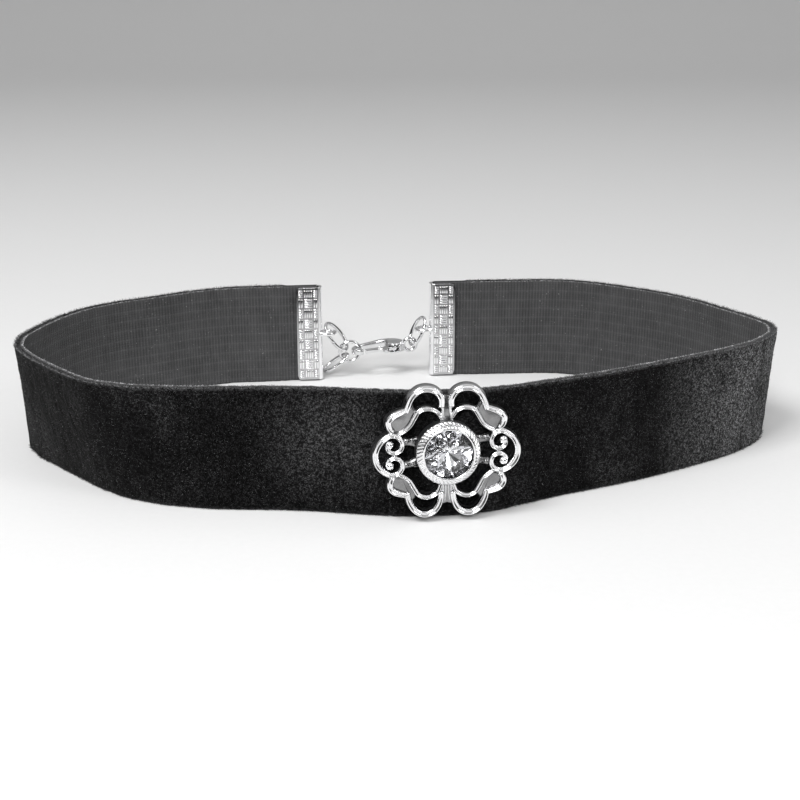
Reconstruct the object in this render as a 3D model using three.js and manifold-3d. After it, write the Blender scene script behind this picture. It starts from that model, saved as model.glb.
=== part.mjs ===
// Velvet ribbon choker with a filigree rosette, ribbon clamps and a lobster clasp.
// Millimetres, +Z up. The ribbon stands on its lower edge, z = 0, with the rosette towards -Y.
import * as THREE from "three";
import { mergeVertices } from "three/addons/utils/BufferGeometryUtils.js";
import Module from "manifold-3d";

const wasm = await Module();
wasm.setup();

// ---------------------------------------------------------------- driving sizes
const RIBBON_WIDTH = 20;
const RIBBON_THICK = 1.5;
const RIBBON_END_THICK = 1.0;
const RIBBON_EDGE_ROUND = 0.3;
const RIBBON_SECTIONS = 150;
const GAP = 0.3;

const CLAMP_DEPTH = 5.3;
const CLAMP_HEIGHT = 19.4;
const CLAMP_PLATE = 0.5;
const CLAMP_CORNER = 0.9;
const CLAMP_LOOP_Z = 9.9;
const CLAMP_LOOP_REACH = 3.0;
const CLAMP_LOOP_HALF = 1.35;
const CLAMP_WIRE = 0.8;
const CLAMP_ROWS = 9;
const PAD_HEIGHT = 0.15;

const ROSETTE_DEPTH = 1.7;
const WEB_DEPTH = 0.8;
const BEZEL_RADIUS = 4.9;
const BEZEL_HEIGHT = 3.6;
const BEZEL_OPENING = 3.76;
const BEZEL_SIDES = 32;
const CRYSTAL_RADIUS = 3.95;

const RING_WIRE = 0.7;
const WIRE_SIDES = 8;

const CLASP_THICK = 2.2;
const CLASP_PIN_RADIUS = 0.35;
const LEVER_THICK = 0.8;

// Where the plan's own origin lies in the part's frame.
const PLAN_ORIGIN = new THREE.Vector3(-0.34, 1.25, 0);

// ---------------------------------------------------------------- ribbon
// A row for each section of the ribbon, from the left clamp round the front to the right
// clamp: the middle of its wall in plan, and how far its top leans outwards in degrees.
const RIBBON_STATIONS = [
  { x: -16.8, y: 32.5, lean: 0 },
  { x: -22.0, y: 31.9, lean: 0 },
  { x: -28.5, y: 31.2, lean: 1 },
  { x: -35.0, y: 30.1, lean: 0 },
  { x: -41.5, y: 27.2, lean: 0 },
  { x: -48.0, y: 22.8, lean: 0 },
  { x: -54.2, y: 18.9, lean: 0 },
  { x: -59.2, y: 14.0, lean: 0 },
  { x: -62.6, y: 8.0, lean: 0 },
  { x: -65.0, y: 0.6, lean: 0 },
  { x: -65.7, y: -6.3, lean: 2 },
  { x: -63.5, y: -12.0, lean: 6 },
  { x: -59.2, y: -17.4, lean: 9 },
  { x: -54.2, y: -22.9, lean: 10 },
  { x: -48.8, y: -28.2, lean: 10 },
  { x: -43.0, y: -31.5, lean: 6 },
  { x: -36.0, y: -33.3, lean: 1 },
  { x: -28.0, y: -34.0, lean: -3 },
  { x: -19.0, y: -34.1, lean: -4 },
  { x: -12.0, y: -34.7, lean: -4.5 },
  { x: -6.0, y: -35.6, lean: -5 },
  { x: 0.5, y: -36.3, lean: -5.5 },
  { x: 7.0, y: -36.1, lean: -5.5 },
  { x: 13.5, y: -34.8, lean: -4 },
  { x: 19.5, y: -32.2, lean: -1 },
  { x: 26.0, y: -28.9, lean: 0.5 },
  { x: 33.0, y: -25.7, lean: 1 },
  { x: 40.5, y: -21.7, lean: 0 },
  { x: 48.0, y: -17.2, lean: 0.5 },
  { x: 55.5, y: -12.4, lean: 1.5 },
  { x: 61.5, y: -7.4, lean: 2.5 },
  { x: 65.4, y: -2.0, lean: 3 },
  { x: 66.4, y: 3.2, lean: 2 },
  { x: 64.4, y: 8.2, lean: 1 },
  { x: 61.0, y: 14.2, lean: 0 },
  { x: 56.8, y: 20.8, lean: 0 },
  { x: 51.4, y: 26.6, lean: 0 },
  { x: 45.0, y: 31.2, lean: 0 },
  { x: 38.5, y: 35.1, lean: 0 },
  { x: 31.5, y: 37.0, lean: 0 },
  { x: 23.5, y: 36.7, lean: 0 },
  { x: 15.0, y: 36.15, lean: 0 },
  { x: 6.9, y: 35.55, lean: 0 },
];

const planLine = new THREE.CatmullRomCurve3(
  RIBBON_STATIONS.map((s) => new THREE.Vector3(s.x, s.y, 0)),
  false,
  "centripetal",
);
planLine.arcLengthDivisions = 1200;
const RIBBON_LENGTH = planLine.getLength();

// The lean between two stations, by the curve's own parameter.
function leanAt(t) {
  const last = RIBBON_STATIONS.length - 1;
  const i = Math.min(Math.floor(t * last), last - 1);
  const k = THREE.MathUtils.smoothstep(t * last - i, 0, 1);
  return THREE.MathUtils.lerp(RIBBON_STATIONS[i].lean, RIBBON_STATIONS[i + 1].lean, k);
}

// The ribbon is squeezed thin for the depth of each clamp, then fills out to its full pile.
function thicknessAt(distance) {
  const fromEnd = Math.min(distance, RIBBON_LENGTH - distance);
  const full = THREE.MathUtils.smoothstep(fromEnd, CLAMP_DEPTH + 0.1, CLAMP_DEPTH + 2);
  return THREE.MathUtils.lerp(RIBBON_END_THICK, RIBBON_THICK, full);
}

// A box whose length follows the plan, with rounded upper and lower edges.
function ribbonGeometry() {
  const heights = [0, RIBBON_EDGE_ROUND, RIBBON_WIDTH - RIBBON_EDGE_ROUND, RIBBON_WIDTH];
  const rows = heights.length - 1;
  const box = new THREE.BoxGeometry(1, 1, 1, RIBBON_SECTIONS, 1, rows);
  const position = box.getAttribute("position");
  for (let i = 0; i < position.count; i++) {
    const along = position.getX(i) + 0.5;
    const side = position.getY(i) * 2;
    const row = Math.round((position.getZ(i) + 0.5) * rows);
    const height = heights[row];
    const t = planLine.getUtoTmapping(along);
    const point = planLine.getPoint(t);
    const tangent = planLine.getTangent(t);
    const outward = new THREE.Vector3(tangent.y, -tangent.x, 0).normalize();
    const edge = row === 0 || row === rows ? RIBBON_EDGE_ROUND : 0;
    const half = thicknessAt(along * RIBBON_LENGTH) / 2 - edge;
    const lean = Math.tan(THREE.MathUtils.degToRad(leanAt(t)));
    const offset = -side * half + lean * (height - RIBBON_WIDTH / 2);
    point.addScaledVector(outward, offset);
    position.setXYZ(i, point.x, point.y, height);
  }
  box.computeVertexNormals();
  return box;
}

// ---------------------------------------------------------------- helpers
function solid(geometry) {
  const bare = geometry.clone();
  for (const name of Object.keys(bare.attributes)) {
    if (name !== "position") bare.deleteAttribute(name);
  }
  const merged = mergeVertices(bare, 1e-4);
  const made = new wasm.Manifold(
    new wasm.Mesh({
      numProp: 3,
      vertProperties: new Float32Array(merged.attributes.position.array),
      triVerts: new Uint32Array(merged.index.array),
    }),
  );
  return made;
}

function geometryOf(manifold) {
  const mesh = manifold.getMesh();
  const geometry = new THREE.BufferGeometry();
  geometry.setAttribute("position", new THREE.BufferAttribute(mesh.vertProperties, 3));
  geometry.setIndex(new THREE.BufferAttribute(mesh.triVerts, 1));
  const flat = geometry.toNonIndexed();
  flat.computeVertexNormals();
  return flat;
}

function join(pieces) {
  return wasm.Manifold.union(pieces);
}

// The main body, without the slivers that a tightly curled bar leaves at its inner bend.
function mainBody(manifold) {
  const bodies = manifold.decompose();
  return bodies.reduce((a, b) => (a.volume() > b.volume() ? a : b));
}

function blockAt(sx, sy, sz, x, y, z) {
  return solid(new THREE.BoxGeometry(sx, sy, sz).translate(x, y, z));
}

// A wire's round section, or a bar's, with its widths across and out of the curve's plane.
function sectionShape(acrossWidth, outWidth, sides) {
  const shape = new THREE.Shape();
  for (let i = 0; i < sides; i++) {
    const angle = ((i + 0.5) / sides) * 2 * Math.PI;
    const px = (outWidth / 2) * Math.cos(angle);
    const py = (acrossWidth / 2) * Math.sin(angle);
    if (i === 0) shape.moveTo(px, py);
    else shape.lineTo(px, py);
  }
  shape.closePath();
  return shape;
}

function sweep(curve, section, steps) {
  return new THREE.ExtrudeGeometry(section, { extrudePath: curve, steps, bevelEnabled: false });
}

// An oval wire link whose two ends meet at a fine seam in the middle of one long side.
class OvalCurve extends THREE.Curve {
  constructor(halfLength, halfWidth, seam) {
    super();
    this.halfLength = halfLength;
    this.halfWidth = halfWidth;
    this.seam = seam;
  }
  getPoint(t, target = new THREE.Vector3()) {
    const angle = Math.PI / 2 + this.seam + t * (2 * Math.PI - 2 * this.seam);
    const x = this.halfLength * Math.cos(angle);
    const y = this.halfWidth * Math.sin(angle);
    return target.set(x, y, 0);
  }
}

function ovalLink(halfLength, halfWidth, wire, steps) {
  const seam = 0.03 / halfLength;
  const curve = new OvalCurve(halfLength, halfWidth, seam);
  return sweep(curve, sectionShape(wire, wire, WIRE_SIDES), steps);
}

// Turns a link made in its own xy plane so that its length and width lie along two directions.
function place(object, centre, along, across) {
  const x = along.clone().normalize();
  const z = new THREE.Vector3().crossVectors(x, across).normalize();
  const y = new THREE.Vector3().crossVectors(z, x);
  object.quaternion.setFromRotationMatrix(new THREE.Matrix4().makeBasis(x, y, z));
  object.position.copy(centre);
  return object;
}

function material(color, roughness, metalness) {
  return new THREE.MeshStandardMaterial({ color, roughness, metalness });
}

const silver = () => material(0xd9d9dc, 0.22, 1.0);

function named(name, geometry, look) {
  const mesh = new THREE.Mesh(geometry, look);
  mesh.name = name;
  return mesh;
}

// ---------------------------------------------------------------- ribbon clamps
// The clamp's own frame: x into the ribbon from the folded spine, y through it, z up.
function clampSolid() {
  const channel = RIBBON_END_THICK / 2 + GAP;
  const outer = channel + CLAMP_PLATE;
  const round = outer * 0.8;
  const fold = new THREE.Shape();
  fold.moveTo(CLAMP_DEPTH, -outer);
  fold.lineTo(CLAMP_DEPTH, -channel);
  fold.lineTo(CLAMP_PLATE + 0.1, -channel);
  fold.lineTo(CLAMP_PLATE + 0.1, channel);
  fold.lineTo(CLAMP_DEPTH, channel);
  fold.lineTo(CLAMP_DEPTH, outer);
  fold.lineTo(round, outer);
  fold.quadraticCurveTo(0, outer, 0, outer - round);
  fold.lineTo(0, -outer + round);
  fold.quadraticCurveTo(0, -outer, round, -outer);
  const folded = solid(
    new THREE.ExtrudeGeometry(fold, { depth: CLAMP_HEIGHT, bevelEnabled: false, curveSegments: 4 }),
  );

  const face = new THREE.Shape();
  face.moveTo(-1, 0);
  face.lineTo(CLAMP_DEPTH - CLAMP_CORNER, 0);
  face.absarc(CLAMP_DEPTH - CLAMP_CORNER, CLAMP_CORNER, CLAMP_CORNER, -Math.PI / 2, 0, false);
  face.lineTo(CLAMP_DEPTH, CLAMP_HEIGHT - CLAMP_CORNER);
  const top = CLAMP_HEIGHT - CLAMP_CORNER;
  face.absarc(CLAMP_DEPTH - CLAMP_CORNER, top, CLAMP_CORNER, 0, Math.PI / 2, false);
  face.lineTo(-1, CLAMP_HEIGHT);
  const faceDepth = 2 * outer + 1;
  const trimmer = new THREE.ExtrudeGeometry(face, {
    depth: faceDepth,
    bevelEnabled: false,
    curveSegments: 4,
  });
  trimmer.rotateX(Math.PI / 2).translate(0, faceDepth / 2, 0);
  const plates = folded.intersect(solid(trimmer));

  // Basket-weave pads: a middle column and two narrower side columns on each plate.
  const pads = [];
  const pitch = CLAMP_HEIGHT / CLAMP_ROWS;
  const columns = [
    { x: 1.45, width: 0.75 },
    { x: 2.85, width: 1.7 },
    { x: 4.3, width: 0.85 },
  ];
  for (const side of [-1, 1]) {
    for (const column of columns) {
      for (let row = 0; row < CLAMP_ROWS; row++) {
        const z = (row + 0.5) * pitch;
        const edgeRow = row === 0 || row === CLAMP_ROWS - 1;
        const tall = edgeRow ? pitch * 0.62 : pitch * 0.82;
        const shift = row === 0 ? pitch * 0.1 : row === CLAMP_ROWS - 1 ? -pitch * 0.1 : 0;
        const y = side * (outer + PAD_HEIGHT / 2 - 0.05);
        pads.push(blockAt(column.width, PAD_HEIGHT + 0.1, tall, column.x, y, z + shift));
      }
    }
  }

  // A flat-lying wire loop stands out of the middle of the spine.
  const reach = CLAMP_LOOP_REACH - CLAMP_WIRE / 2;
  const loopZ = CLAMP_LOOP_Z - clampBase();
  const loop = new THREE.CatmullRomCurve3([
    new THREE.Vector3(0.35, CLAMP_LOOP_HALF - 0.25, loopZ),
    new THREE.Vector3(-0.5, CLAMP_LOOP_HALF, loopZ),
    new THREE.Vector3(-reach * 0.72, CLAMP_LOOP_HALF * 0.86, loopZ),
    new THREE.Vector3(-reach, 0, loopZ),
    new THREE.Vector3(-reach * 0.72, -CLAMP_LOOP_HALF * 0.86, loopZ),
    new THREE.Vector3(-0.5, -CLAMP_LOOP_HALF, loopZ),
    new THREE.Vector3(0.35, -CLAMP_LOOP_HALF + 0.25, loopZ),
  ]);
  const wire = solid(sweep(loop, sectionShape(CLAMP_WIRE, CLAMP_WIRE, WIRE_SIDES), 18));
  return join([plates, ...pads, wire]);
}

function clampBase() {
  return (RIBBON_WIDTH - CLAMP_HEIGHT) / 2;
}

// Stands a clamp over one end of the ribbon, its spine a little past the ribbon's end.
function clampMesh(name, end) {
  const mesh = named(name, geometryOf(clampSolid()), silver());
  const t = end === "start" ? 0 : 1;
  const into = planLine.getTangent(t).multiplyScalar(end === "start" ? 1 : -1);
  const tip = planLine.getPoint(t);
  const back = CLAMP_PLATE + 0.1 + GAP;
  mesh.position.set(tip.x - into.x * back, tip.y - into.y * back, clampBase());
  mesh.rotation.z = Math.atan2(into.y, into.x);
  return mesh;
}

// ---------------------------------------------------------------- rosette
// The rosette's own frame: x to its right, y up, z out towards the wearer's front.
// Half of each bar is listed; the other half mirrors it. The rows run along the bar.
const v2 = (x, y) => new THREE.Vector2(x, y);
const ROSETTE_BARS = [
  {
    name: "upper arch",
    width: 1.25,
    rise: 1.0,
    line: [v2(0.8, 6.6), v2(0.78, 8.2), v2(1.5, 9.35), v2(2.85, 9.85), v2(4.2, 9.65), v2(5.3, 8.75), v2(5.95, 7.4), v2(6.3, 6.0)],
  },
  {
    name: "upper leaf",
    width: 1.15,
    rise: 0.95,
    line: [v2(6.0, 6.7), v2(7.2, 6.25), v2(8.3, 5.75), v2(8.95, 4.95), v2(8.75, 3.9), v2(8.1, 3.1)],
  },
  {
    name: "side lobe",
    width: 1.15,
    rise: 1.05,
    line: [v2(7.6, 2.6), v2(8.6, 2.85), v2(9.65, 2.35), v2(10.6, 1.3), v2(11.05, -0.2), v2(10.75, -1.65), v2(9.9, -2.75), v2(8.7, -3.4), v2(7.6, -3.2)],
  },
  {
    name: "upper curl",
    width: 0.95,
    rise: 1.0,
    line: [v2(8.3, 2.85), v2(7.45, 2.5), v2(6.9, 1.6), v2(7.15, 0.55), v2(8.05, 0.1), v2(8.95, 0.45), v2(9.15, 1.15), v2(8.75, 1.45)],
  },
  {
    name: "lower curl",
    width: 0.95,
    rise: 1.0,
    line: [v2(8.3, -3.45), v2(7.45, -3.1), v2(6.9, -2.2), v2(7.15, -1.15), v2(8.05, -0.7), v2(8.95, -1.05), v2(9.15, -1.75), v2(8.75, -2.05)],
  },
  {
    name: "lower leaf",
    width: 1.15,
    rise: 0.95,
    line: [v2(8.1, -3.6), v2(8.75, -4.4), v2(8.8, -5.4), v2(8.2, -6.15), v2(7.2, -6.55), v2(6.0, -6.9)],
  },
  {
    name: "lower arch",
    width: 1.2,
    rise: 1.0,
    line: [v2(6.3, -6.2), v2(5.85, -7.9), v2(4.95, -9.25), v2(3.75, -9.9), v2(2.45, -9.7), v2(1.5, -8.8), v2(1.0, -7.5), v2(0.9, -6.2)],
  },
  {
    name: "upper inner arm",
    width: 0.95,
    rise: 0.85,
    line: [v2(0.7, 5.0), v2(1.5, 6.2), v2(2.9, 6.75), v2(4.25, 6.4), v2(5.0, 5.3), v2(5.65, 4.2), v2(6.7, 3.3), v2(7.6, 2.9)],
  },
  {
    name: "lower inner arm",
    width: 0.95,
    rise: 0.85,
    line: [v2(0.9, -5.0), v2(1.6, -6.6), v2(2.95, -7.2), v2(4.3, -6.85), v2(5.1, -5.7), v2(5.75, -4.6), v2(6.7, -3.8), v2(7.6, -3.4)],
  },
];

const ROSETTE_WEBS = [
  {
    name: "upper corner",
    outline: [v2(5.4, 7.6), v2(6.6, 6.5), v2(8.7, 5.4), v2(8.6, 3.8), v2(7.6, 3.0), v2(6.2, 3.5), v2(5.2, 4.9), v2(4.6, 6.1)],
  },
  {
    name: "lower corner",
    outline: [v2(5.5, -7.9), v2(4.6, -6.6), v2(5.3, -5.3), v2(6.3, -4.0), v2(7.6, -3.5), v2(8.7, -4.4), v2(8.7, -5.6), v2(6.7, -6.7)],
  },
  {
    name: "upper side tab",
    outline: [v2(4.4, 2.3), v2(5.4, 2.1), v2(6.9, 2.3), v2(7.1, 1.2), v2(5.6, 0.9), v2(4.6, 0.7)],
  },
  {
    name: "lower side tab",
    outline: [v2(4.6, -1.0), v2(5.6, -1.3), v2(7.1, -1.6), v2(6.9, -2.8), v2(5.4, -2.5), v2(4.4, -2.5)],
  },
];

// A bar's section: flat at the back, rounded over in front.
function barSection(width, rise) {
  const half = width / 2;
  const front = ROSETTE_DEPTH * rise;
  const shoulder = front * 0.6;
  const shape = new THREE.Shape();
  // The sweep's section axes are out of the curve's plane, then across it.
  shape.moveTo(0, -half);
  shape.lineTo(-shoulder, -half);
  shape.lineTo(-front * 0.92, -half * 0.5);
  shape.lineTo(-front, 0);
  shape.lineTo(-front * 0.92, half * 0.5);
  shape.lineTo(-shoulder, half);
  shape.lineTo(0, half);
  shape.closePath();
  return shape;
}

function barSolid(bar, mirror) {
  const points = bar.line.map((p) => new THREE.Vector3(p.x * mirror, p.y, 0));
  const curve = new THREE.CatmullRomCurve3(points);
  const steps = Math.round((bar.line.length - 1) * 2.5);
  return solid(sweep(curve, barSection(bar.width, bar.rise), steps));
}

function webSolid(web, mirror) {
  const shape = new THREE.Shape(web.outline.map((p) => v2(p.x * mirror, p.y)));
  return solid(new THREE.ExtrudeGeometry(shape, { depth: WEB_DEPTH, bevelEnabled: false }));
}

function bezelSolid() {
  const profile = [
    v2(0, 0),
    v2(BEZEL_RADIUS - 0.5, 0),
    v2(BEZEL_RADIUS, 0.6),
    v2(BEZEL_RADIUS, BEZEL_HEIGHT - 1.0),
    v2(BEZEL_OPENING + 0.35, BEZEL_HEIGHT),
    v2(BEZEL_OPENING, BEZEL_HEIGHT),
    v2(BEZEL_OPENING, BEZEL_HEIGHT - 0.35),
    v2(CRYSTAL_RADIUS + GAP, BEZEL_HEIGHT - 0.75),
    v2(CRYSTAL_RADIUS + GAP, BEZEL_HEIGHT - 1.6),
    v2(0.9, 0.6),
    v2(0, 0.6),
  ];
  // Turned about y by the lathe, then laid along z.
  return solid(new THREE.LatheGeometry(profile, BEZEL_SIDES).rotateX(Math.PI / 2));
}

function rosetteSolid() {
  const pieces = [bezelSolid()];
  for (const mirror of [-1, 1]) {
    for (const bar of ROSETTE_BARS) pieces.push(barSolid(bar, mirror));
    for (const web of ROSETTE_WEBS) pieces.push(webSolid(web, mirror));
    for (const [x, y] of [[8.85, 1.35], [8.85, -1.95]]) {
      const ball = new THREE.SphereGeometry(0.62, 8, 6).rotateX(Math.PI / 2);
      pieces.push(solid(ball.translate(x * mirror, y, ROSETTE_DEPTH - 0.62)));
    }
  }
  // A post above the bezel and a spreading fan below it.
  const post = new THREE.Shape([v2(-1.1, 4.2), v2(1.1, 4.2), v2(0.75, 6), v2(0.8, 8.6), v2(-0.8, 8.6), v2(-0.75, 6)]);
  pieces.push(solid(new THREE.ExtrudeGeometry(post, { depth: 1.0, bevelEnabled: false })));
  const fan = new THREE.Shape([v2(-1.1, -4.2), v2(-1.0, -6.4), v2(-1.35, -8.6), v2(0, -8.2), v2(1.35, -8.6), v2(1.0, -6.4), v2(1.1, -4.2)]);
  pieces.push(solid(new THREE.ExtrudeGeometry(fan, { depth: 1.1, bevelEnabled: false })));
  return mainBody(join(pieces));
}

// The stone: a table, two rows of crown facets, a girdle and a shallow pavilion.
function crystalGeometry() {
  const sides = 16;
  const profile = [
    v2(0, 0),
    v2(2.6, 0.95),
    v2(CRYSTAL_RADIUS, 1.55),
    v2(CRYSTAL_RADIUS, 1.85),
    v2(3.35, 2.4),
    v2(2.2, 2.75),
    v2(0, 2.75),
  ];
  return new THREE.LatheGeometry(profile, sides).rotateX(Math.PI / 2);
}

const ROSETTE_YAW = THREE.MathUtils.degToRad(8);
const ROSETTE_LEAN = THREE.MathUtils.degToRad(5.5);
const ROSETTE_CENTRE = new THREE.Vector3(7.0, -37.28, 11.1);

const CRYSTAL_SEAT = 0.85;

// ---------------------------------------------------------------- lobster clasp
// The clasp's own frame: x from its eye to its hook, y towards the lever, z through it.
const PIVOT = v2(5.2, 1.0);
const EYE_RADIUS = 1.3;
const EYE_WIRE = 0.8;
const CLASP_HOOK_THIN = 0.55;

// The clasp is full height at its base and slimmer at its hook.
function taper(geometry) {
  const position = geometry.getAttribute("position");
  for (let i = 0; i < position.count; i++) {
    const k = THREE.MathUtils.smoothstep(position.getX(i), 6, 11.5);
    position.setZ(i, position.getZ(i) * THREE.MathUtils.lerp(1, CLASP_HOOK_THIN, k));
  }
  return geometry;
}

function claspBodySolid() {
  const outline = new THREE.Shape();
  outline.moveTo(3.0, -0.9);
  outline.splineThru([v2(4.2, -2.1), v2(6.5, -2.85), v2(9.5, -2.9), v2(12.2, -2.1), v2(13.6, -0.8)]);
  outline.splineThru([v2(14.0, 0.5), v2(13.5, 1.8), v2(12.5, 2.45), v2(11.7, 2.4)]);
  outline.lineTo(11.65, 1.5);
  outline.splineThru([v2(12.5, 1.2), v2(12.95, 0.4), v2(12.75, -0.4), v2(12.0, -1.2)]);
  outline.splineThru([v2(9.5, -1.85), v2(7.4, -1.75), v2(6.5, -1.2), v2(6.25, -0.3)]);
  outline.lineTo(6.2, 1.7);
  outline.splineThru([v2(5.5, 2.2), v2(4.6, 2.1), v2(3.0, 0.9)]);
  outline.closePath();
  const bar = new THREE.ExtrudeGeometry(outline, {
    depth: CLASP_THICK,
    curveSegments: 6,
    bevelEnabled: false,
  });
  const body = solid(taper(bar.translate(0, 0, -CLASP_THICK / 2)));
  const slot = blockAt(2.6, 4, LEVER_THICK + 0.5, 4.05 + 1.3, 1.65, 0);
  const cut = body.subtract(slot);
  const pin = new THREE.CylinderGeometry(CLASP_PIN_RADIUS, CLASP_PIN_RADIUS, CLASP_THICK - 0.2, 12);
  const pinSolid = solid(pin.rotateX(Math.PI / 2).translate(PIVOT.x, PIVOT.y, 0));
  const eye = new THREE.TorusGeometry(EYE_RADIUS, EYE_WIRE / 2, WIRE_SIDES, 20);
  const eyeSolid = solid(eye.rotateX(Math.PI / 2).translate(EYE_RADIUS + EYE_WIRE / 2, 0, 0));
  return join([cut, pinSolid, eyeSolid]);
}

function claspLeverGeometry() {
  const outline = new THREE.Shape();
  outline.moveTo(PIVOT.x + 0.45, 0.36);
  outline.lineTo(8.5, 0.95);
  outline.lineTo(11.3, 1.5);
  outline.lineTo(11.3, 2.2);
  outline.lineTo(8.5, 2.2);
  outline.lineTo(7.5, 2.3);
  outline.lineTo(7.45, 3.4);
  outline.lineTo(7.1, 3.75);
  outline.lineTo(6.65, 3.5);
  outline.lineTo(6.45, 2.3);
  outline.lineTo(PIVOT.x, 1.78);
  outline.absarc(PIVOT.x, PIVOT.y, 0.78, Math.PI / 2, Math.PI * 1.65, false);
  const hole = new THREE.Path();
  hole.absarc(PIVOT.x, PIVOT.y, CLASP_PIN_RADIUS + 0.08, 0, Math.PI * 2, true);
  outline.holes.push(hole);
  return new THREE.ExtrudeGeometry(outline, {
    depth: LEVER_THICK,
    bevelEnabled: false,
    curveSegments: 10,
  }).translate(0, 0, -LEVER_THICK / 2);
}

// ---------------------------------------------------------------- where the chain lies
const at = (x, y, z) => new THREE.Vector3(x, y, z);
const CHAIN = [
  {
    name: "ring_right",
    halfLength: 3.15,
    halfWidth: 1.95,
    centre: at(3.6, 36.9, 9.0),
    along: at(0.42, 0, 0.907),
    across: at(0.41, -0.89, -0.19),
  },
  {
    name: "ring_left",
    halfLength: 3.4,
    halfWidth: 1.95,
    centre: at(-13.15, 34.3, 8.55),
    along: at(-0.6, -0.1, 0.8),
    across: at(-0.41, -0.89, -0.19),
  },
  {
    name: "ring_clasp",
    halfLength: 2.1,
    halfWidth: 2.1,
    centre: at(-10.4, 34.75, 5.3),
    along: at(0, 0, 1),
    across: at(0.99, 0.14, 0),
  },
  {
    name: "tail_link",
    halfLength: 3.1,
    halfWidth: 1.7,
    centre: at(-13.4, 34.95, 2.75),
    along: at(-0.81, 0.08, -0.57),
    across: at(0, -1, -0.25),
  },
];
const CLASP_EYE = at(2.0, 36.95, 6.18);
const CLASP_HOOK_END = at(-10.5, 35.1, 5.35);

// ---------------------------------------------------------------- assembly
const choker = new THREE.Group();
const plan = new THREE.Group();
plan.position.copy(PLAN_ORIGIN);
choker.add(plan);

plan.add(named("ribbon", ribbonGeometry(), material(0x17171a, 0.95, 0)));
plan.add(clampMesh("clamp_left", "start"));
plan.add(clampMesh("clamp_right", "end"));

const ornament = new THREE.Group();
ornament.rotation.set(Math.PI / 2 - ROSETTE_LEAN, 0, ROSETTE_YAW, "ZXY");
ornament.position.copy(ROSETTE_CENTRE);
ornament.add(named("rosette", geometryOf(rosetteSolid()), material(0xc9c9cc, 0.3, 1.0)));
const crystal = named("crystal", crystalGeometry(), material(0xeef2f6, 0.03, 0));
crystal.position.z = CRYSTAL_SEAT;
ornament.add(crystal);
plan.add(ornament);

for (const link of CHAIN) {
  const geometry = ovalLink(link.halfLength, link.halfWidth, RING_WIRE, 26);
  plan.add(place(named(link.name, geometry, silver()), link.centre, link.along, link.across));
}

const clasp = new THREE.Group();
const claspWay = CLASP_HOOK_END.clone().sub(CLASP_EYE);
place(clasp, CLASP_EYE, claspWay, at(0, -1, 0));
const claspParts = new THREE.Group();
claspParts.position.x = -(EYE_RADIUS + EYE_WIRE / 2);
claspParts.add(named("clasp_body", geometryOf(claspBodySolid()), silver()));
claspParts.add(named("clasp_lever", claspLeverGeometry(), silver()));
clasp.add(claspParts);
plan.add(clasp);

export default choker;
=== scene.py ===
"""Velvet ribbon choker with a filigree rosette: the looks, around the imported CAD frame.

Lengths are in millimetres in the tables and in metres in Blender."""

import math

import bpy
import numpy as np
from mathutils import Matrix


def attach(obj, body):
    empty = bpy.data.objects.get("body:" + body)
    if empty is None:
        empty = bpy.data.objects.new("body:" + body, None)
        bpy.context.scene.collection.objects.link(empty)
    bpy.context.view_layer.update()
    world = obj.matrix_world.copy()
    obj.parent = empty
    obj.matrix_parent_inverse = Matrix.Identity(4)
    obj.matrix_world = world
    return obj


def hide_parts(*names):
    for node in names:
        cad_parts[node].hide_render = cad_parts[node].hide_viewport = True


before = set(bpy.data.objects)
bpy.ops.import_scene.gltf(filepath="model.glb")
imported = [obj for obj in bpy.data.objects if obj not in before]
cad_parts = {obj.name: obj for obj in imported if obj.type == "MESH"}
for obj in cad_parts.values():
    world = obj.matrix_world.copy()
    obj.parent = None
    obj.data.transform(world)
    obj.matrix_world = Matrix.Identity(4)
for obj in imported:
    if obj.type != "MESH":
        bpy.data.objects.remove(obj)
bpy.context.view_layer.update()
MM = 0.001
rng = np.random.default_rng(7)

# ---------------------------------------------------------------- camera
camera_data = bpy.data.cameras.new("camera")
camera_data.lens = 58.5
camera_data.sensor_width = 36.0
camera_data.clip_start = 0.01
camera_data.clip_end = 20.0
camera = bpy.data.objects.new("camera", camera_data)
camera.location = (-0.34 * MM, -223.02 * MM, 82.51 * MM)
camera.rotation_euler = (math.radians(71.254), 0.0, 0.0)
bpy.context.collection.objects.link(camera)
bpy.context.scene.camera = camera
bpy.context.scene.view_settings.view_transform = "Standard"


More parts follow.
